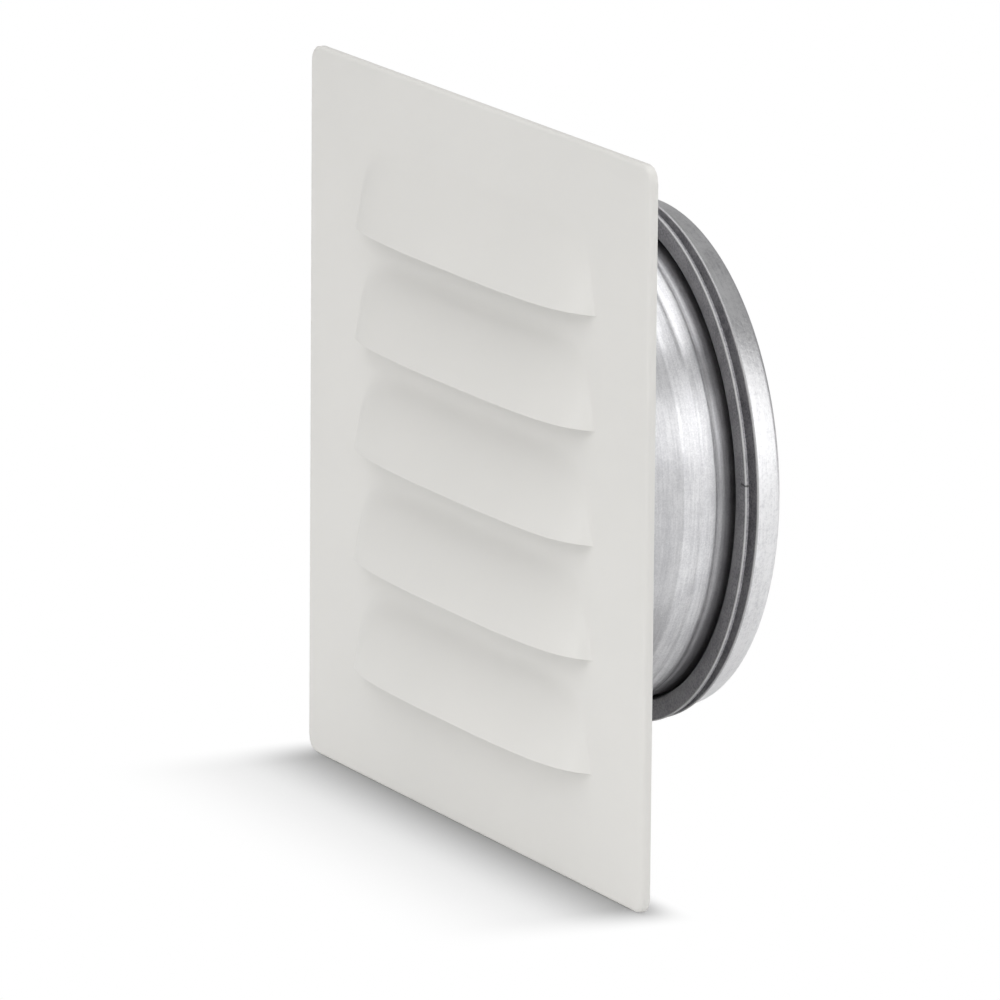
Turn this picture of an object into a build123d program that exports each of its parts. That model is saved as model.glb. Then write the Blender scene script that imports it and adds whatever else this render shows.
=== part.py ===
from build123d import *
import math
import os

# An outside-wall vent cap: a square pressed faceplate with louvre hoods, and behind it a round spigot
# with a double-lip gasket. Millimetres, +Z up. The origin is on the spigot's axis in the wall plane,
# where the faceplate's turned-back rim ends. The front faces -Y and the spigot points to +Y.

# Faceplate: one sheet, pressed into a shallow pan
plate_side = 175.0
plate_corner_radius = 4.0
plate_sheet = 0.8
rim_depth = 2.0
rim_outside_bend = 1.0

# Louvre hoods, raised from the same sheet and open downwards at the lip
hood_count = 5
hood_pitch = 27.05
top_lip_z = 48.3
hood_half_width = 61.5
hood_ramp_length = 19.8
hood_height = 7.45
hood_foot_blend = 0.8
hood_end_softness = 0.1
lip_arch_power = 2.9
body_arch_power = 3.6
lip_curl_reach = 4.5
ramp_side_ease = 0.4
ramp_side_power = 3.3

# Spigot: one sleeve of galvanised sheet with a flange, a neck and a folded hem
sleeve_sheet = 0.6
neck_outer_radius = 57.75
spigot_reach = 47.86
flange_width = 7.0
flange_bend_set = 0.9
hem_inside_bend = 1.27
hem_flare_angle = 15.0
hem_edge_proud = 4.6

# Gasket: a rubber ring with a foot under the hem and two lips
gasket_web = 1.0
gasket_foot_end = 1.6
gasket_before_hem = 4.13
front_lip_proud = 5.85
front_lip_rim = 1.0
front_lip_root = 1.7
front_lip_bevel = 0.3
rear_lip_proud = 5.35
rear_lip_rim = 0.65

# Planes and radii that follow from the sizes above
plate_front_y = -rim_depth
plate_back_y = plate_front_y + plate_sheet
hood_foot_sink = 0.375 * plate_sheet
neck_inner_radius = neck_outer_radius - sleeve_sheet
flange_outer_radius = neck_outer_radius + flange_width
fold_radius = neck_outer_radius + hem_inside_bend
fold_y = spigot_reach - hem_inside_bend - sleeve_sheet
fold_outside = hem_inside_bend + sleeve_sheet
hem_flare = math.radians(hem_flare_angle)
hem_edge_radius = neck_outer_radius + hem_edge_proud
hem_start_radius = fold_radius + fold_outside * math.cos(hem_flare)
hem_length = (hem_edge_radius - hem_start_radius) / math.sin(hem_flare)


def rounded_slab(side, corner_radius, front_y, back_y):
    """A square slab with round corners, between two planes."""
    outline = Plane.XZ.offset(-back_y) * RectangleRounded(side, side, corner_radius)
    return extrude(outline, amount=back_y - front_y)


def pan():
    """The faceplate before its hoods are raised: a flat sheet with its edge turned back."""
    outer = rounded_slab(plate_side, plate_corner_radius, plate_front_y, 0)
    outer = fillet(outer.faces().sort_by(Axis.Y)[0].edges(), radius=rim_outside_bend)
    hollow_side = plate_side - 2 * plate_sheet
    hollow = rounded_slab(hollow_side, plate_corner_radius - plate_sheet, plate_back_y, rim_depth)
    return outer - hollow


def arch(share, power):
    """Height across a hood: 1 in the middle, falling steeply to 0 at its ends, and below 0 beyond them."""
    inside = 1 - abs(share) ** power
    return inside * ((1 + hood_end_softness) / (inside**2 + hood_end_softness)) ** (1 / 3)


def raised_height(x, above_lip):
    """How far the sheet stands proud of the flat plate at x, and at a distance above the lip."""
    share = x / hood_half_width
    body = arch(share, body_arch_power)
    curl = body - arch(share, lip_arch_power)
    curl_here = curl * math.exp(-((above_lip / lip_curl_reach) ** 2))
    ramp = (1 - ramp_side_ease * abs(share) ** ramp_side_power) * above_lip / hood_ramp_length
    sunk = hood_foot_sink
    height = (hood_height + sunk) * (body - curl_here - ramp)
    softened = (height + math.sqrt(height**2 + hood_foot_blend**2)) / 2
    return softened - sunk


def hood_press():
    """The space behind one hood's outer skin, its lip at z = 0, reaching back through the sheet."""
    side_margin = 4.0
    foot_margin = 4.5
    x_reach = hood_half_width + side_margin
    z_low = -2.0
    z_high = hood_ramp_length + foot_margin
    x_steps = 14
    z_steps = 5
    closeness = 0.2
    rows = []
    for j in range(z_steps + 1):
        z = z_low + (z_high - z_low) * j / z_steps
        row = []
        for i in range(x_steps + 1):
            x = -x_reach + 2 * x_reach * i / x_steps
            row.append((x, plate_front_y - raised_height(x, z), z))
        rows.append(row)
    skin = Face.make_surface_from_array_of_points(rows, tol=closeness, min_deg=3, max_deg=3)
    return extrude(skin, amount=2 * hood_height, dir=(0, 1, 0))


def faceplate():
    """The pan with its hoods: each is one skin, and the same skin set back by the sheet's thickness."""
    press = hood_press()
    reach = 4 * hood_half_width
    middle_y = plate_front_y + plate_sheet / 2
    above_lip = Pos(0, 0, hood_pitch / 2) * Box(reach, reach, hood_pitch)
    in_sheet = Pos(0, middle_y - reach / 2, 0) * Box(reach, reach, reach)
    hood_outside = press & above_lip & in_sheet
    hood_inside = Pos(0, plate_sheet, 0) * press & above_lip
    plate = pan()
    for n in range(hood_count):
        at_lip = Pos(0, 0, top_lip_z - n * hood_pitch)
        plate = plate + at_lip * hood_outside
        plate = plate - at_lip * hood_inside
    return plate


def hem_point(from_bend, along):
    """A point of the hem's section: so far out from the fold's centre, then so far down its flare."""
    radius = fold_radius + from_bend * math.cos(hem_flare) + along * math.sin(hem_flare)
    y = fold_y + from_bend * math.sin(hem_flare) - along * math.cos(hem_flare)
    return (radius, y)


def fold_points(from_bend, steps):
    """Points round the fold at the tip, from the neck's side over to the hem's, in equal turns."""
    turn = math.pi - hem_flare
    points = []
    for n in range(steps + 1):
        angle = math.pi - turn * n / steps
        points.append((fold_radius + from_bend * math.cos(angle), fold_y + from_bend * math.sin(angle)))
    return points


def ring(outline):
    """A closed ring: an outline of (radius, y) points turned about the spigot's axis."""
    return revolve(make_face(Polyline(*outline, close=True)), axis=Axis.Y)


def spigot_sleeve():
    """One sheet turned about the axis: flange on the plate's back, neck, and the hem folded back outwards."""
    flange_back_y = plate_back_y + sleeve_sheet
    outline = [
        (flange_outer_radius, flange_back_y),
        (flange_outer_radius, plate_back_y),
        (neck_inner_radius + flange_bend_set, plate_back_y),
        (neck_inner_radius, plate_back_y + flange_bend_set),
        *fold_points(fold_outside, steps=3),
        hem_point(fold_outside, hem_length),
        hem_point(hem_inside_bend, hem_length),
        *reversed(fold_points(hem_inside_bend, steps=2)),
        (neck_outer_radius, flange_back_y),
    ]
    return ring(outline)


def gasket():
    """A rubber ring on the neck: a web carrying two lips, and a foot that fills the hem's flare."""
    web_radius = neck_outer_radius + gasket_web
    front_lip_radius = neck_outer_radius + front_lip_proud
    rear_lip_radius = neck_outer_radius + rear_lip_proud
    hem_front = hem_point(hem_inside_bend, hem_length)
    foot_tip = hem_point(hem_inside_bend, gasket_foot_end)
    front_face_y = hem_front[1] - gasket_before_hem
    rear_face_y = hem_front[1] - rear_lip_rim
    outline = [
        (neck_outer_radius, front_face_y),
        (front_lip_radius - front_lip_bevel, front_face_y),
        (front_lip_radius, front_face_y + front_lip_bevel),
        (front_lip_radius, front_face_y + front_lip_rim),
        (web_radius, front_face_y + front_lip_root),
        (web_radius, rear_face_y),
        (rear_lip_radius, rear_face_y),
        (rear_lip_radius, hem_front[1]),
        hem_front,
        foot_tip,
        (neck_outer_radius, foot_tip[1]),
    ]
    return ring(outline)


def main():
    os.makedirs("parts", exist_ok=True)
    export_step(faceplate(), "parts/faceplate.step")
    export_step(spigot_sleeve(), "parts/spigot_sleeve.step")
    export_step(gasket(), "parts/gasket.step")


main()
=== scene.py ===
# %% [markdown]
# # A louvred vent grille with a round spigot
#
# This lesson dresses a fixed model of a wall vent cap. The cap has three pieces: a square white
# faceplate pressed from one sheet, a round spigot of galvanised sheet behind it, and a rubber
# gasket with two lips on the spigot. Lengths are written in millimetres and turned to metres by
# `MM`. The origin is on the spigot's axis in the plane of the wall, the front faces -Y, and +Z
# is up.

# %% Load the fixed model
import math

import bmesh
import bpy
from mathutils import Matrix, Vector


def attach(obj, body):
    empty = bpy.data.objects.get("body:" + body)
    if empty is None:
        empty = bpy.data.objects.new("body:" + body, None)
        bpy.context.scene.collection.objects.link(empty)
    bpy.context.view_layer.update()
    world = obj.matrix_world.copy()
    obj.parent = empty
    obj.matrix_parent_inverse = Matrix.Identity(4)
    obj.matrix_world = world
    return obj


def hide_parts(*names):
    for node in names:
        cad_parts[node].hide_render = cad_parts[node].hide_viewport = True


MM = 0.001
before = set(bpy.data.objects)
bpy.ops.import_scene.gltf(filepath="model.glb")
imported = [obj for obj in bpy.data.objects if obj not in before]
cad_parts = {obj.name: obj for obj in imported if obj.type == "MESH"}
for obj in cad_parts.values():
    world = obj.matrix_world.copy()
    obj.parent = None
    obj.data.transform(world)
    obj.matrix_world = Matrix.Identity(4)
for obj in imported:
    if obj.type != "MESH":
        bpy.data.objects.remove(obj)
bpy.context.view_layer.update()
print("nodes:", sorted(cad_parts))

# %% [markdown]
# ## The sizes
#
# The pieces made here stand for the fixed ones, so they share their sizes: the faceplate is a
# shallow pan with five hoods, and the spigot and its gasket are rings about the Y axis.

# %% Sizes of the faceplate
plate_side = 175.0
plate_corner_radius = 4.0
plate_sheet = 0.8
rim_depth = 2.0
rim_outside_bend = 1.0
plate_front_y = -rim_depth

hood_count = 5
hood_pitch = 27.05
top_lip_z = 48.3
hood_half_width = 61.5
hood_ramp_length = 19.8
hood_height = 7.45
hood_foot_sink = 0.375 * plate_sheet
hood_foot_blend = 0.75
hood_end_softness = 0.1
lip_arch_power = 2.9
body_arch_power = 3.6
lip_curl_reach = 4.5
ramp_side_ease = 0.4
ramp_side_power = 3.3
lip_heights = [top_lip_z - n * hood_pitch for n in range(hood_count)]
print("the lips are at z =", [round(z, 1) for z in lip_heights])

# %% Sizes of the spigot
neck_radius = 57.75
sleeve_sheet = 0.6
spigot_reach = 47.74
flange_radius = 64.75
flange_bend = 0.9
hem_inside_bend = 1.27
hem_edge_radius = 62.35
hem_flare = math.radians(15.0)
fold_radius = neck_radius + hem_inside_bend
fold_outside = hem_inside_bend + sleeve_sheet
fold_y = spigot_reach - fold_outside
hem_rise = hem_edge_radius - fold_radius - fold_outside * math.cos(hem_flare)
hem_length = hem_rise / math.sin(hem_flare)
plain_end_y = 23.6
first_crease_y = 28.6
second_crease_y = 32.7
crease_depth = 0.10
band_crown = 0.10
ring_steps = 224
print("the hem is", round(hem_length, 2), "mm long")

# %% Sizes of the gasket
gasket_front_y = 36.502
gasket_web = 1.0
gasket_foot_end = 1.6
front_lip_radius = 63.6
rear_lip_radius = 63.1
crevice_width = 1.3
crevice_depth = 1.8
cut_height = 5.2
cut_slope = 0.1
print("the front lip stands", round(front_lip_radius - neck_radius, 2), "mm proud of the neck")

# %% [markdown]
# ## The camera
#
# The picture was taken with a long lens, from the right of the plate and a little above it. The
# view was fitted to the corners of the plate: an azimuth, an elevation, a small roll, a distance,
# and how far the plate's centre lies from the middle of the picture.

# %% Set up the camera
view_azimuth = math.radians(62.82)
view_elevation = math.radians(12.71)
view_roll = math.radians(0.465)
view_distance = 2410.6
view_right_of_centre = -6.45
view_above_centre = 7.11
focal_length_in_widths = 10.253
sensor_width = 36.0

forward = Vector((
    -math.sin(view_azimuth) * math.cos(view_elevation),
    math.cos(view_azimuth) * math.cos(view_elevation),
    -math.sin(view_elevation),
))
level_right = Vector((math.cos(view_azimuth), math.sin(view_azimuth), 0))
level_up = level_right.cross(forward)
right = math.cos(view_roll) * level_right + math.sin(view_roll) * level_up
up = math.cos(view_roll) * level_up - math.sin(view_roll) * level_right
plate_centre = Vector((0, plate_front_y, 0))
aside = view_right_of_centre * right + view_above_centre * up
eye = plate_centre - aside - view_distance * forward

camera_data = bpy.data.cameras.new("camera")
camera_data.sensor_width = sensor_width
camera_data.lens = focal_length_in_widths * sensor_width
camera_data.clip_start = 0.1
camera_data.clip_end = 20
camera = bpy.data.objects.new("camera", camera_data)
camera.location = eye * MM
camera.rotation_mode = "QUATERNION"
camera.rotation_quaternion = Matrix((right, up, -forward)).transposed().to_quaternion()
bpy.context.scene.collection.objects.link(camera)
bpy.context.scene.camera = camera
print("camera at", tuple(round(v, 3) for v in camera.location))

# %% [markdown]
# ## Finishes as expressions
#
# A finish is a small sum: spots times strength, one colour mixed with another. `Wire` wraps a
# socket so that such a sum can be written in Python, and each operator adds one Math node. `Nodes`
# holds a node tree, and its method `add` makes every other node.

# %% A socket that can be used in sums
class Wire:
    """An output socket. An operator on it adds a Math node and gives that node's output."""

    def __init__(self, nodes, socket):
        self.nodes = nodes
        self.socket = socket

    def math(self, operation, *values):
        settings = {"operation": operation}
        return self.nodes.add("ShaderNodeMath", settings, dict(enumerate(values)))

    def __add__(self, other):
        return self.math("ADD", self, other)

    def __radd__(self, other):
        return self.math("ADD", other, self)

    def __sub__(self, other):
        return self.math("SUBTRACT", self, other)

    def __rsub__(self, other):
        return self.math("SUBTRACT", other, self)

    def __mul__(self, other):
        return self.math("MULTIPLY", self, other)

    def __rmul__(self, other):
        return self.math("MULTIPLY", other, self)

    def __abs__(self):
        return self.math("ABSOLUTE", self)

    def fade(self, start, end):
        """0 before start and 1 after end, with a smooth way between them."""
        settings = {"interpolation_type": "SMOOTHSTEP"}
        values = {"Value": self, "From Min": start, "From Max": end}
        return self.nodes.add("ShaderNodeMapRange", settings, values)


print("a wire can be added, subtracted, multiplied and faded")


# %% A node tree, and the one way to add a node to it
class Nodes:
    """The nodes of one material or of the world."""

    def __init__(self, owner):
        owner.use_nodes = True
        self.tree = owner.node_tree
        self.tree.nodes.clear()

    def add(self, kind, settings=None, values=None, output=0):
        """Adds a node: its settings first, then a value or a link for each named socket."""
        node = self.tree.nodes.new(kind)
        for name, setting in (settings or {}).items():
            setattr(node, name, setting)
        for name, value in (values or {}).items():
            if isinstance(value, Wire):
                self.tree.links.new(value.socket, node.inputs[name])
            else:
                node.inputs[name].default_value = value
        return Wire(self, node.outputs[output]) if node.outputs else node

    def place(self, scale=(1, 1, 1)):
        """Object coordinates, stretched."""
        here = self.add("ShaderNodeTexCoord", output="Object")
        return self.add("ShaderNodeMapping", values={"Vector": here, "Scale": scale})

    def coordinate(self, name):
        """One of the Object coordinates: X, Y or Z."""
        here = self.add("ShaderNodeTexCoord", output="Object")
        return self.add("ShaderNodeSeparateXYZ", values={"Vector": here}, output=name)

    def distance_from_axis(self):
        """How far a point is from the spigot's axis."""
        values = {0: self.place(scale=(1, 0, 1))}
        return self.add("ShaderNodeVectorMath", {"operation": "LENGTH"}, values, output="Value")

    def noise(self, where, scale, detail=2.0, roughness=0.5):
        values = {"Vector": where, "Scale": scale, "Detail": detail, "Roughness": roughness}
        return self.add("ShaderNodeTexNoise", values=values)

    def blend(self, factor, first, second):
        """Mixes two colours. Each may be three numbers or a wire."""
        colours = [c if isinstance(c, Wire) else (*c, 1) for c in (first, second)]
        # A Mix node takes its colours at the seventh and eighth sockets, and gives the mixed
        # colour at the third.
        values = {0: factor, 6: colours[0], 7: colours[1]}
        return self.add("ShaderNodeMix", {"data_type": "RGBA"}, values, output=2)

    def bump(self, height, distance):
        return self.add("ShaderNodeBump", values={"Height": height, "Distance": distance})

    def surface(self, shader):
        self.add("ShaderNodeOutputMaterial", values={"Surface": shader})


def material(name):
    """A new material, and its nodes."""
    made = bpy.data.materials.new(name)
    return made, Nodes(made)


print("a node tree starts empty, and every node comes from its method add")

# %% [markdown]
# ## White paint
#
# The plate is coated steel: a warm, slightly grey white with a satin gloss. A coat of paint is
# never quite flat, so a very shallow grain bends its reflections, and its colour drifts by a
# percent or so.

# %% Make the white paint
light_white = (0.690, 0.680, 0.655)
deep_white = (0.672, 0.664, 0.640)


def white_paint():
    made, nodes = material("white_paint")
    drift = nodes.noise(nodes.place(), scale=14, detail=3).fade(0.3, 0.7)
    tone = nodes.blend(drift, light_white, deep_white)
    grain = nodes.noise(nodes.place(), scale=1400, detail=2)
    waves = nodes.noise(nodes.place(), scale=90, detail=1)
    skin = nodes.bump(grain * 0.6 + waves * 3.0, distance=0.02 * MM)
    values = {"Base Color": tone, "Roughness": 0.42, "IOR": 1.45, "Normal": skin}
    nodes.surface(nodes.add("ShaderNodeBsdfPrincipled", values=values))
    return made


paint = white_paint()
print("made", paint.name)

# %% [markdown]
# ## Galvanised steel
#
# The sleeve is rolled from a strip with a thin coat of zinc. Zinc gives the sheet a fine grain, a
# little lighter here and darker there, and rolling leaves faint lines round the neck. Its colour
# also holds painted light: the outside of the sleeve is painted brighter from the end of the neck's
# plain stretch onwards as a painted highlight, and darker beside the plate and on the inside as
# painted shade, and the neck from the second crease to the hem is darkened as a painted reflection
# of the dark rubber. The distance from the axis keeps the highlight and the reflection off the
# inside of the sheet. All of it is metal, so the pattern goes to the base colour and to the
# roughness, and the lines and the grain to a bump.

# %% Make the galvanised steel
hem_finish_y = 38.0
zinc_dark = (0.58, 0.58, 0.60)
zinc_light = (0.86, 0.86, 0.87)
# A dark colour mixed into the zinc as painted shade beside the plate and inside the sleeve.
painted_shade_steel = (0.15, 0.15, 0.16)
# A dark colour painted on the neck as a reflection of the gasket.
painted_gasket_reflection = (0.09, 0.085, 0.095)


def galvanised_steel():
    made, nodes = material("galvanised_steel")
    along = nodes.coordinate("Y")
    radius = nodes.distance_from_axis()
    outside = radius.fade((neck_radius - 0.5) * MM, (neck_radius - 0.3) * MM)
    on_hem = along.fade(hem_finish_y * MM, (hem_finish_y + 1) * MM)
    # Painted highlight and shade: the outside is bright from the end of the plain stretch on, and
    # the rest stays darker.
    painted_highlight_band = along.fade((plain_end_y - 0.3) * MM, (plain_end_y + 0.5) * MM) * outside
    # Painted reflection: the outside of the neck from the second crease to the hem is darkened as
    # if it mirrored the dark gasket.
    painted_reflection_mask = along.fade((second_crease_y - 0.6) * MM, (second_crease_y + 0.2) * MM)
    painted_reflection_mask = painted_reflection_mask * (1 - on_hem) * outside
    grain = nodes.noise(nodes.place(), scale=2400, detail=2, roughness=0.7)
    flecks = nodes.noise(nodes.place(), scale=900, detail=2, roughness=0.6)
    clouds = nodes.noise(nodes.place(), scale=110, detail=3, roughness=0.6)
    round_the_axis = nodes.place(scale=(0.05, 1, 0.05))
    lines = nodes.noise(round_the_axis, scale=1600, detail=3, roughness=0.7)
    shade = grain * 0.3 + flecks * (0.1 + on_hem * 0.2) + clouds * 0.3 + lines * 0.3
    zinc = nodes.blend(shade.fade(0.36, 0.68), zinc_dark, zinc_light)
    # Painted shade: the darkened zinc, which the bright band of painted highlight replaces.
    painted_shade_zinc = nodes.blend(0.24, zinc, painted_shade_steel)
    tone = nodes.blend(painted_highlight_band, painted_shade_zinc, zinc)
    tone = nodes.blend(painted_reflection_mask * 0.52, tone, painted_gasket_reflection)
    roughness = 0.28 + clouds * 0.12
    height = lines * (1 - on_hem) * 1.2 + grain * 0.4 + flecks * (0.3 + on_hem)
    skin = nodes.bump(height, distance=0.04 * MM)
    values = {"Base Color": tone, "Metallic": 1.0, "Roughness": roughness, "Normal": skin}
    nodes.surface(nodes.add("ShaderNodeBsdfPrincipled", values=values))
    return made


steel = galvanised_steel()
print("made", steel.name)

# %% [markdown]
# ## Rubber
#
# The gasket is a dark grey rubber with a dull skin. Dust lies on it in thin smears. The corner
# where it meets the neck is painted dark as shade, and the rims of both lips are painted paler as
# a highlight. One short cut crosses the front lip at the side, painted dark as the shade inside it.

# %% Make the rubber
clean_rubber = (0.15, 0.147, 0.16)
dusty_rubber = (0.30, 0.295, 0.31)
# A pale grey used as a painted highlight on the rims of the lips.
painted_highlight_rubber = (0.62, 0.62, 0.62)
# A near-black colour used as painted shade in the corner by the neck and in the cut.
painted_shade_dark = (0.02, 0.02, 0.02)


def rubber():
    made, nodes = material("rubber")
    across, along, upward = (nodes.coordinate(name) for name in "XYZ")
    radius = nodes.distance_from_axis()
    cloud = nodes.noise(nodes.place(), scale=160, detail=4, roughness=0.6)
    speckle = nodes.noise(nodes.place(), scale=1700, detail=2, roughness=0.6)
    dust = (cloud * 0.4 + speckle * 0.6).fade(0.38, 0.62)
    tone = nodes.blend(dust, clean_rubber, dusty_rubber)
    # Painted shade: the rubber is darkened in the corner where it meets the neck.
    corner_painted_shade = 1 - radius.fade((neck_radius + 0.5) * MM, (neck_radius + 1.0) * MM)
    tone = nodes.blend(corner_painted_shade * 0.85, tone, painted_shade_dark)
    # Painted highlight: the rims of the front and rear lips are painted paler.
    front = radius.fade((front_lip_radius - 0.35) * MM, (front_lip_radius - 0.1) * MM)
    front = front * (1 - along.fade((gasket_front_y + 0.3) * MM, (gasket_front_y + 0.5) * MM))
    rear = radius.fade((rear_lip_radius - 0.4) * MM, (rear_lip_radius - 0.15) * MM)
    rear = rear * along.fade((gasket_front_y + 3.0) * MM, (gasket_front_y + 3.1) * MM)
    tone = nodes.blend(front * 0.7 + rear * 0.55, tone, painted_highlight_rubber)
    from_cut = abs(upward - cut_height * MM + (radius - front_lip_radius * MM) * cut_slope)
    cut = (1 - from_cut.fade(0.12 * MM, 0.3 * MM)) * across.fade(0, 1 * MM)
    cut = cut * radius.fade((front_lip_radius - 2.4) * MM, (front_lip_radius - 1.9) * MM)
    cut = cut * (1 - along.fade((gasket_front_y + 1.0) * MM, (gasket_front_y + 1.4) * MM))
    # Painted shade: the cut is darkened as the shade inside it.
    tone = nodes.blend(cut * 0.8, tone, painted_shade_dark)
    skin = nodes.bump(speckle * 0.6 + cloud - cut * 3, distance=0.04 * MM)
    roughness = 0.42 + dust * 0.2
    values = {"Base Color": tone, "Roughness": roughness, "Normal": skin}
    nodes.surface(nodes.add("ShaderNodeBsdfPrincipled", values=values))
    return made


gasket_rubber = rubber()
print("made", gasket_rubber.name)

# %% [markdown]
# ## The pressed faceplate
#
# On the real plate one sheet is cut along five lines and pressed outwards above each cut, so that
# the sheet swells into a hood with a free lip. A grid is the right start: its rows are laid so
# that each cut falls on a row, the rows are split there, and every point is then raised by the
# same smooth formula. The edge of the sheet is extruded outwards and back in small steps, which
# rolls it round the bend.

# %% The height of the sheet above the flat plate
def arch(share, power):
    """Height across a hood: 1 in the middle, falling steeply to 0 at its ends and below beyond."""
    inside = 1 - abs(share) ** power
    return inside * ((1 + hood_end_softness) / (inside**2 + hood_end_softness)) ** (1 / 3)


def swell(x, above_lip):
    """How far a hood stands proud at x, at a distance above its lip, in millimetres."""
    share = x / hood_half_width
    body = arch(share, body_arch_power)
    curl = (body - arch(share, lip_arch_power)) * math.exp(-((above_lip / lip_curl_reach) ** 2))
    ramp = (1 - ramp_side_ease * abs(share) ** ramp_side_power) * above_lip / hood_ramp_length
    height = (hood_height + hood_foot_sink) * (body - curl - ramp) - hood_foot_sink
    if height <= -hood_foot_blend:
        return 0.0
    if height >= hood_foot_blend:
        return height
    return (height + hood_foot_blend) ** 2 / (4 * hood_foot_blend)


def slit_half_width():
    """How far from the middle a lip is still off the plate, to a tenth of a millimetre."""
    x = hood_half_width
    while swell(x, 0) > 0:
        x += 0.1
    return x


slit_reach = slit_half_width()
print("each slit is", round(2 * slit_reach, 1), "mm long")

# %% [markdown]
# ## Rows and columns where they are needed
#
# The sheet bends most at the lips, at the top of each hood and at its ends. Each stretch below is
# a place where it ends and the longest step within it, in millimetres, so that the bends get
# narrow faces and the flat parts wide ones.

# %% Where the rows and the columns of the sheet lie
flat_step = 1.6
rows_below_lip = [(-2, flat_step), (0, 0.5)]
rows_above_lip = [(8, 0.7), (15, 1.4), (23, 0.7)]
columns_from_middle = [(40, 2.0), (52, 0.9), (65, 0.4)]


def even_steps(start, end, longest):
    """Points from start up to end, at even steps no longer than the longest, without the end."""
    count = math.ceil((end - start) / longest)
    return [start + (end - start) * n / count for n in range(count)]


def stretches(start, ends):
    """Even steps through several stretches, each given by its end and its longest step."""
    places = []
    for end, longest in ends:
        places += even_steps(start, end, longest)
        start = end
    return places


def row_heights(low, high):
    """Rows of the sheet from low to high, with one on every slit."""
    ends = [(lip + up, step) for lip in sorted(lip_heights)
            for up, step in rows_below_lip + rows_above_lip]
    return stretches(low, ends + [(high, flat_step)]) + [high]


def column_places(half):
    """Columns of the sheet, the same on the left as on the right."""
    right_side = stretches(0, columns_from_middle + [(half, flat_step)]) + [half]
    return [-x for x in reversed(right_side[1:])] + right_side


flat_half = plate_side / 2 - rim_outside_bend
flat_corner = plate_corner_radius - rim_outside_bend
rows = row_heights(-flat_half, flat_half)
columns = column_places(flat_half)
print("the sheet has", len(rows), "rows and", len(columns), "columns")


# %% Lay out the sheet and cut the slits
def flat_sheet():
    """A grid in the plane of the plate's front, with its rows and columns moved into place."""
    across, upward = len(columns) - 1, len(rows) - 1
    sheet = bmesh.new()
    made = bmesh.ops.create_grid(sheet, x_segments=across, y_segments=upward, size=1)
    for vert in made["verts"]:
        column = round((vert.co.x + 1) / 2 * across)
        row = round((vert.co.y + 1) / 2 * upward)
        vert.co = Vector((columns[column], plate_front_y, rows[row]))
    return sheet


def cut_slits(sheet):
    """Splits the sheet along each lip, and returns how many edges were cut."""
    close = 0.001
    on_a_slit = []
    for edge in sheet.edges:
        first, second = edge.verts
        level = abs(first.co.z - second.co.z) < close
        at_lip = min(abs(first.co.z - z) for z in lip_heights) < close
        within = max(abs(first.co.x), abs(second.co.x)) < slit_reach
        if level and at_lip and within:
            on_a_slit.append(edge)
    bmesh.ops.split_edges(sheet, edges=on_a_slit)
    return len(on_a_slit)


sheet = flat_sheet()
print("cut", cut_slits(sheet), "edges along the slits")


# %% Raise the hoods and round the corners
def raise_hoods(sheet):
    """Lifts each point by the hood that it belongs to. A split point below a slit stays flat."""
    hair = 0.01
    for vert in sheet.verts:
        face_heights = [face.calc_center_median().z for face in vert.link_faces]
        centre_z = sum(face_heights) / len(face_heights)
        probe = vert.co.z + hair if centre_z >= vert.co.z else vert.co.z - hair
        below = [z for z in lip_heights if z <= probe]
        if below:
            vert.co.y = plate_front_y - swell(vert.co.x, max(vert.co.z - max(below), 0))


def round_corner(x, z):
    """Moves a point of the square's corner patch into a quarter circle."""
    inner = flat_half - flat_corner
    across, upward = max(abs(x) - inner, 0), max(abs(z) - inner, 0)
    if across == 0 or upward == 0:
        return x, z
    pull = max(across, upward) / math.hypot(across, upward)
    return math.copysign(inner + across * pull, x), math.copysign(inner + upward * pull, z)


raise_hoods(sheet)
for vert in sheet.verts:
    vert.co.x, vert.co.z = round_corner(vert.co.x, vert.co.z)
print("the hoods stand", round(plate_front_y - min(v.co.y for v in sheet.verts), 2), "mm proud")

# %% [markdown]
# ## The turned edge
#
# The plate's edge is rolled back towards the wall. Each ring of the roll is the last one extruded
# and moved outwards and back along a quarter circle, and the last ring is the short straight edge.

# %% Roll the edge round its bend
def outward(x, z):
    """The direction straight out of the rounded square's edge at a point on it."""
    inner = flat_half - flat_corner
    core = Vector((max(-inner, min(inner, x)), 0, max(-inner, min(inner, z))))
    return (Vector((x, 0, z)) - core).normalized()


def outer_edges(sheet):
    """The edges round the outside of the sheet, without those of the slits."""
    reach = flat_half - flat_corner - 0.01
    found = []
    for edge in sheet.edges:
        outside = all(max(abs(v.co.x), abs(v.co.z)) > reach for v in edge.verts)
        if edge.is_boundary and outside:
            found.append(edge)
    return found


def roll_edge(sheet, steps):
    """Extrudes the outer edge in rings: round the bend, then straight back to the wall."""
    rim = outer_edges(sheet)
    angles = [math.pi / 2 * n / steps for n in range(1, steps + 1)]
    ring_y = [plate_front_y + rim_outside_bend * (1 - math.cos(angle)) for angle in angles]
    ring_out = [rim_outside_bend * math.sin(angle) for angle in angles]
    edge_points = {v: v.co.copy() for edge in rim for v in edge.verts}
    for y, out in zip(ring_y + [0.0], ring_out + [rim_outside_bend]):
        made = bmesh.ops.extrude_edge_only(sheet, edges=rim)["geom"]
        rim = [item for item in made if isinstance(item, bmesh.types.BMEdge)]
        new_points = {}
        for vert in (v for edge in rim for v in edge.verts):
            neighbours = [edge.other_vert(vert) for edge in vert.link_edges]
            new_points[vert] = next(edge_points[v] for v in neighbours if v in edge_points)
        for vert, start in new_points.items():
            vert.co = start + out * outward(start.x, start.z)
            vert.co.y = y
        edge_points = new_points
    return len(rim)


print("rolled an edge of", roll_edge(sheet, steps=6), "segments")


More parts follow.
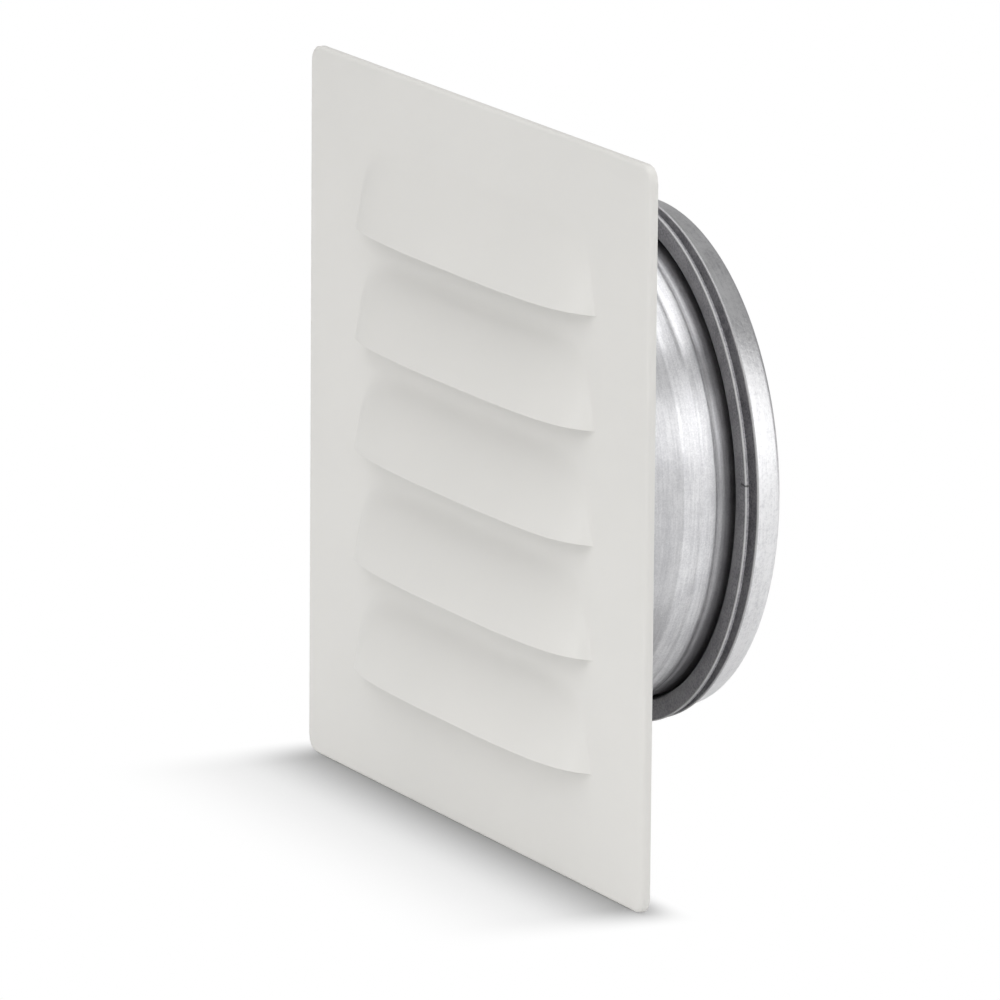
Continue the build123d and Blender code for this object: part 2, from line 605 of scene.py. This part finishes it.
# %% From a bmesh to a piece of the model
def finished(name, shape, finish, node):
    """Makes a bmesh in millimetres an object in metres, which stands for a node of the model."""
    bmesh.ops.scale(shape, vec=(MM, MM, MM), verts=shape.verts)
    mesh = bpy.data.meshes.new(name)
    shape.to_mesh(mesh)
    shape.free()
    mesh.materials.append(finish)
    for polygon in mesh.polygons:
        polygon.use_smooth = True
    made = bpy.data.objects.new(name, mesh)
    bpy.context.scene.collection.objects.link(made)
    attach(made, "root")
    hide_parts(node)
    return made


def soften_edges(piece, width):
    """Rounds the sharp edges of a piece a little, as on real sheet."""
    edges = piece.modifiers.new("edges", "BEVEL")
    edges.width = width * MM
    edges.segments = 2
    edges.limit_method = "ANGLE"
    edges.angle_limit = math.radians(50)
    edges.harden_normals = True


bmesh.ops.recalc_face_normals(sheet, faces=sheet.faces)
frontmost = max(sheet.faces, key=lambda face: -face.calc_center_median().y)
if frontmost.normal.y > 0:
    bmesh.ops.reverse_faces(sheet, faces=sheet.faces)
plate = finished("pressed_faceplate", sheet, paint, "faceplate")
print("the plate has", len(plate.data.polygons), "faces before its thickness")

# %% Give the sheet its thickness
wall = plate.modifiers.new("sheet", "SOLIDIFY")
wall.thickness = plate_sheet * MM
wall.offset = -1
wall.use_even_offset = True
soften_edges(plate, width=0.12)
print("the sheet is", plate_sheet, "mm thick")

# %% [markdown]
# ## The spigot
#
# The spigot is one sheet too, turned to a ring: a flange that lies on the back of the plate, a
# neck that is plain beside the plate and has three shallow bands nearer the gasket, with a crease
# from a forming roll between each two, and a hem, where the end is folded outwards over itself. A
# section that is closed round the sheet is spun about the axis, and the ends are merged.

# %% Round stretches of a section
def arc(centre, radius, start, end, steps):
    """Points on an arc, as (radius, y) pairs, from one angle to another in degrees."""
    points = []
    for n in range(steps + 1):
        angle = math.radians(start + (end - start) * n / steps)
        across, along = radius * math.cos(angle), radius * math.sin(angle)
        points.append((centre[0] + across, centre[1] + along))
    return points


def hem_point(from_bend, down):
    """A point so far out from the fold's centre, and then so far down the slope of the hem."""
    radius = fold_radius + from_bend * math.cos(hem_flare) + down * math.sin(hem_flare)
    return radius, fold_y + from_bend * math.sin(hem_flare) - down * math.cos(hem_flare)


def spun_ring(section, steps):
    """A closed section of (radius, y) points, spun once about the Y axis."""
    shape = bmesh.new()
    corners = [shape.verts.new((r, y, 0)) for r, y in section]
    outline = [shape.edges.new((corners[n - 1], corners[n])) for n in range(len(corners))]
    bmesh.ops.spin(shape, geom=corners + outline, cent=(0, 0, 0), axis=(0, 1, 0), dvec=(0, 0, 0),
                   angle=2 * math.pi, steps=steps, use_merge=True)
    bmesh.ops.remove_doubles(shape, verts=shape.verts, dist=0.0001)
    bmesh.ops.recalc_face_normals(shape, faces=shape.faces)
    return shape


hem_edge = hem_point(hem_inside_bend, hem_length)
print("the hem's inner edge is at y =", round(hem_edge[1], 2), "mm")


# %% The sleeve's section
def neck_outside(steps_in_band=8):
    """The outside of the neck from under the gasket down to the end of the three bands."""
    band_ends = [gasket_front_y, second_crease_y, first_crease_y, plain_end_y]
    points = [(neck_radius - crease_depth, gasket_front_y + 1)]
    for high, low in zip(band_ends, band_ends[1:]):
        for n in range(steps_in_band + 1):
            share = n / steps_in_band
            crown = (4 * share * (1 - share)) ** 0.5
            lift = (band_crown + crease_depth) * crown - crease_depth
            points.append((neck_radius - band_crown + lift, high - (high - low) * share))
    return points


def sleeve_section():
    """The sheet's outline: the flange, up the inside, over the fold, down the hem and back."""
    inner = neck_radius - sleeve_sheet
    back_y = plate_front_y + plate_sheet
    flare_degrees = math.degrees(hem_flare)
    flange = [(flange_radius, back_y + sleeve_sheet), (flange_radius, back_y)]
    turn = arc((inner + flange_bend, back_y + flange_bend), flange_bend, 270, 180, 6)
    fold = arc((fold_radius, fold_y), fold_outside, 180, flare_degrees, 12)
    edge = [hem_point(fold_outside, hem_length), hem_edge]
    inside_fold = arc((fold_radius, fold_y), hem_inside_bend, flare_degrees, 180, 8)
    neck_end = [(neck_radius, back_y + sleeve_sheet)]
    return flange + turn + fold + edge + inside_fold + neck_outside() + neck_end


sleeve = spun_ring(sleeve_section(), ring_steps)
spigot = finished("spigot_of_sheet", sleeve, steel, "spigot_sleeve")
soften_edges(spigot, width=0.1)
print("the spigot has", len(spigot.data.polygons), "faces")

# %% [markdown]
# ## The gasket
#
# The rubber ring sits in the corner between the neck and the hem. Seen from the plate it shows a
# flat front lip with a rounded rim, a dark groove, and a thin rear lip against the edge of the
# hem. A small crevice is left open between the front lip and the neck, where the rubber's corner
# is rounded off.

# %% The gasket's section
def gasket_section():
    """The rubber's outline: from the neck over the front lip, the groove and the rear lip."""
    front_y, rear_y = gasket_front_y, hem_edge[1]
    web = neck_radius + gasket_web
    foot = hem_point(hem_inside_bend, gasket_foot_end)
    crevice = [(neck_radius, front_y + crevice_depth), (neck_radius + 0.8, front_y + 0.4),
               (neck_radius + 1.0, front_y + 0.1), (neck_radius + crevice_width, front_y)]
    lip = arc((front_lip_radius - 1.1, front_y + 0.25), 0.2, 270, 300, 2)
    lip += arc((front_lip_radius - 0.25, front_y + 0.25), 0.25, 270, 360, 5)
    lip += arc((front_lip_radius - 0.2, front_y + 0.8), 0.2, 0, 90, 4)
    groove = [(web + 0.6, front_y + 1.5), (web, front_y + 2.1), (web, rear_y - 1.1),
              (web + 0.5, rear_y - 0.62)]
    rear_lip = arc((rear_lip_radius - 0.3, rear_y - 0.3), 0.3, -90, 90, 6)
    return crevice + lip + groove + rear_lip + [hem_edge, foot, (neck_radius, foot[1])]


ring = spun_ring(gasket_section(), ring_steps)
gasket = finished("gasket_ring", ring, gasket_rubber, "gasket")
print("the gasket has", len(gasket.data.polygons), "faces")

# %% [markdown]
# ## The floor and the light
#
# The grille stands on its edge on a white floor that fades into a white background. A floor that
# only scatters light would look grey beside that background, so what the camera sees of it goes
# over to plain white away from the plate. Close to the plate's lower edge the camera sees a floor
# of a darker tone than the one that lights the plate, so that the shade there is as deep as in the
# picture.

# %% Lay the floor
floor_tone = 0.9
shaded_floor_tone = 0.29
floor_gap = 0.02


def grey(level):
    return (level, level, level, 1)


def floor_finish():
    made, nodes = material("floor")
    scatter = nodes.add("ShaderNodeBsdfDiffuse", values={"Color": grey(floor_tone)})
    seen = nodes.add("ShaderNodeLightPath", output="Is Camera Ray")
    shade = nodes.add("ShaderNodeBsdfDiffuse", values={"Color": grey(shaded_floor_tone)})
    near = nodes.add("ShaderNodeMixShader", values={0: seen, 1: scatter, 2: shade})
    white = nodes.add("ShaderNodeEmission", values={"Color": grey(1), "Strength": 1.0})
    across, depth = nodes.coordinate("X"), nodes.coordinate("Y")
    beside = (abs(across) - plate_side / 2 * MM).fade(-10 * MM, 10 * MM)
    towards_camera = 0 - depth
    before = towards_camera.fade(-8 * MM, 25 * MM) * 0.6
    before = before + towards_camera.fade(-10 * MM, 60 * MM) * 0.4
    behind = depth.fade(-2 * MM, 10 * MM)
    clear = (1 - beside) * (1 - before) * (1 - behind)
    factor = (1 - clear) * seen
    nodes.surface(nodes.add("ShaderNodeMixShader", values={0: factor, 1: near, 2: white}))
    return made


def lay_floor():
    shape = bmesh.new()
    bmesh.ops.create_grid(shape, x_segments=2, y_segments=2, size=3)
    down = -(plate_side / 2 + floor_gap) * MM
    bmesh.ops.translate(shape, vec=(0, 0, down), verts=shape.verts)
    mesh = bpy.data.meshes.new("floor")
    shape.to_mesh(mesh)
    shape.free()
    mesh.materials.append(floor_finish())
    made = bpy.data.objects.new("floor", mesh)
    bpy.context.scene.collection.objects.link(made)
    return made


floor = lay_floor()
print("the floor is at z =", round(floor.data.vertices[0].co.z / MM, 2), "mm")

# %% [markdown]
# ## Soft light
#
# A small studio. One wide lamp overhead lights the hoods from above and leaves shade under their
# lips, two lamps in front fill the face, and a weak strip near the floor stands for the light that
# a bright floor throws up under the lowest hood. One lamp on the right lights the plate's edge, and
# two behind are mirrored by the neck and by the hem. The pale world is a fill, and the camera sees
# it as pure white.

# %% Hang the lamps
def soft_lamp(name, place, target, size, power):
    """A rectangle of light at a place, turned to a target: metres and watts."""
    data = bpy.data.lights.new(name, "AREA")
    data.shape = "RECTANGLE"
    data.size, data.size_y = size
    data.energy = power
    lamp = bpy.data.objects.new(name, data)
    lamp.location = place
    lamp.rotation_mode = "QUATERNION"
    lamp.rotation_quaternion = (Vector(target) - Vector(place)).to_track_quat("-Z", "Y")
    bpy.context.scene.collection.objects.link(lamp)
    return lamp


def pale_world(strength):
    """A world that lights the scene at a strength, and that the camera sees as pure white."""
    world = bpy.data.worlds.new("studio")
    nodes = Nodes(world)
    seen = nodes.add("ShaderNodeLightPath", output="Is Camera Ray")
    level = strength + seen * (1 - strength)
    light = nodes.add("ShaderNodeBackground", values={"Color": grey(1), "Strength": level})
    nodes.add("ShaderNodeOutputWorld", values={"Surface": light})
    bpy.context.scene.world = world


lamps = [
    soft_lamp("overhead", (0, 0, 1.5), (0, 0, 0), (1.8, 1.8), 15.4),
    soft_lamp("front_high", (0, -1.06, 1.06), (0, 0, 0), (0.8, 0.8), 5.0),
    soft_lamp("front_low", (0, -0.9, 0.1), (0, 0, 0), (0.35, 0.35), 1.35),
    soft_lamp("near_floor", (0, -0.12, -0.08), (0, 0, -0.06), (0.2, 0.03), 0.02),
    soft_lamp("right", (1.4, -0.1, 0.5), (0, 0, 0), (0.7, 0.7), 4.0),
    soft_lamp("behind_right", (1.2, 0.7, 0.5), (0, 0, 0), (0.9, 0.9), 2.4),
    soft_lamp("behind", (0.8, 1.2, 0.35), (0, 0, 0), (0.9, 1.1), 3.3),
]
pale_world(0.3)
print("hung", len(lamps), "lamps")

# %% Show the picture as it is
bpy.context.scene.view_settings.view_transform = "Standard"
